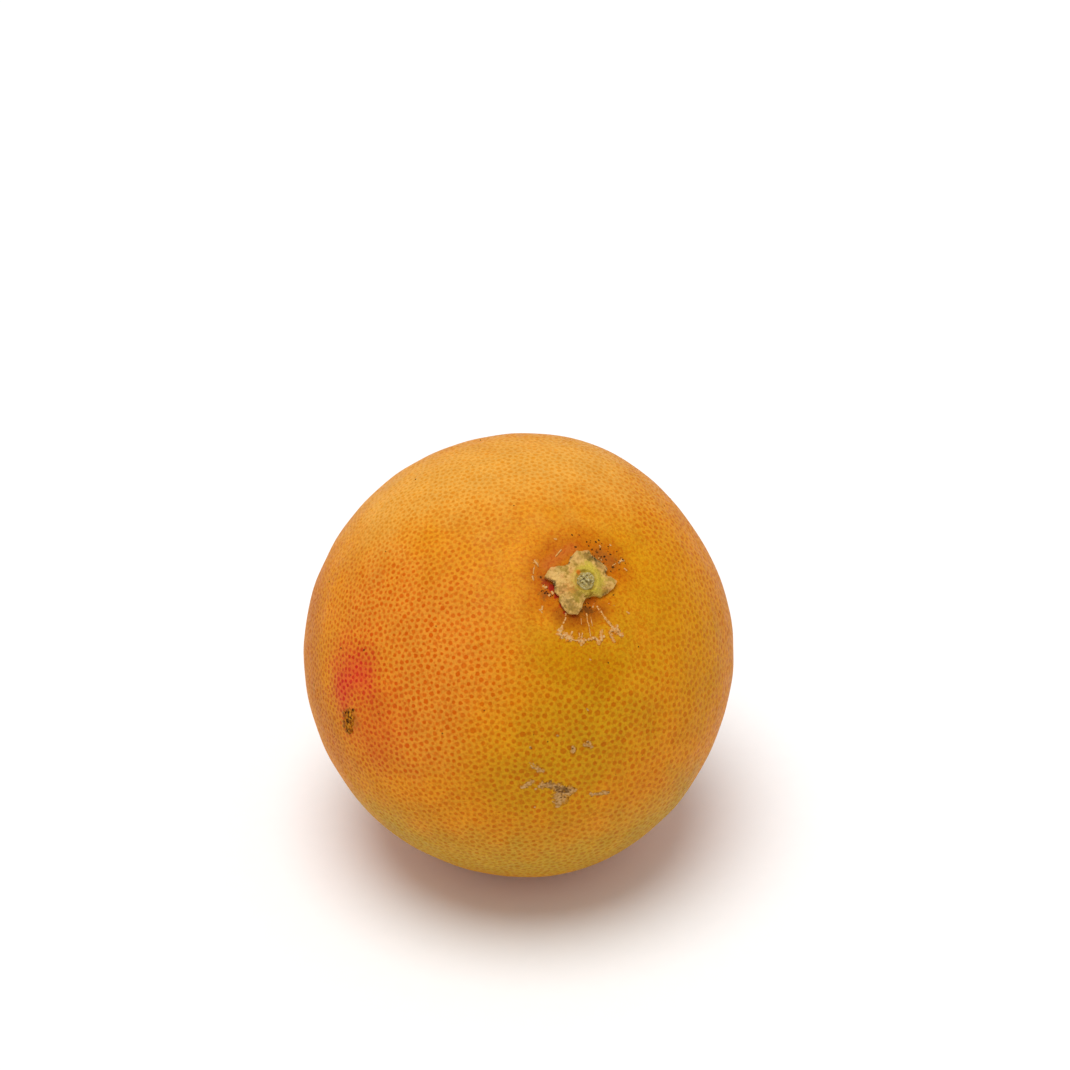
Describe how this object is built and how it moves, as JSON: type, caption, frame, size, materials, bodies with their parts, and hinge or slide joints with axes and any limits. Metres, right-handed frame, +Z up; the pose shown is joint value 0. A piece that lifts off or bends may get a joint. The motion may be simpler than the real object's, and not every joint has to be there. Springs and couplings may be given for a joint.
{
  "type": "grapefruit",
  "caption": "Whole round grapefruit with pitted orange peel, a dried star-shaped calyx and the end of its stem, lying tipped over on a small flat spot.",
  "frame": {"origin": "on the surface that the fruit rests on, under the middle of its box", "axes": "+Z up; the stem end leans 40 degrees from +Z towards -Y, turned 27 degrees towards +X"},
  "size_m": [0.1016, 0.1028, 0.1003],
  "materials": {
    "peel": "satin",
    "calyx": "matte",
    "stem_end": "matte"
  },
  "bodies": {
    "root": {"fruit": "peel", "calyx": "calyx", "stem_stub": "stem_end"}
  },
  "joints": []
}
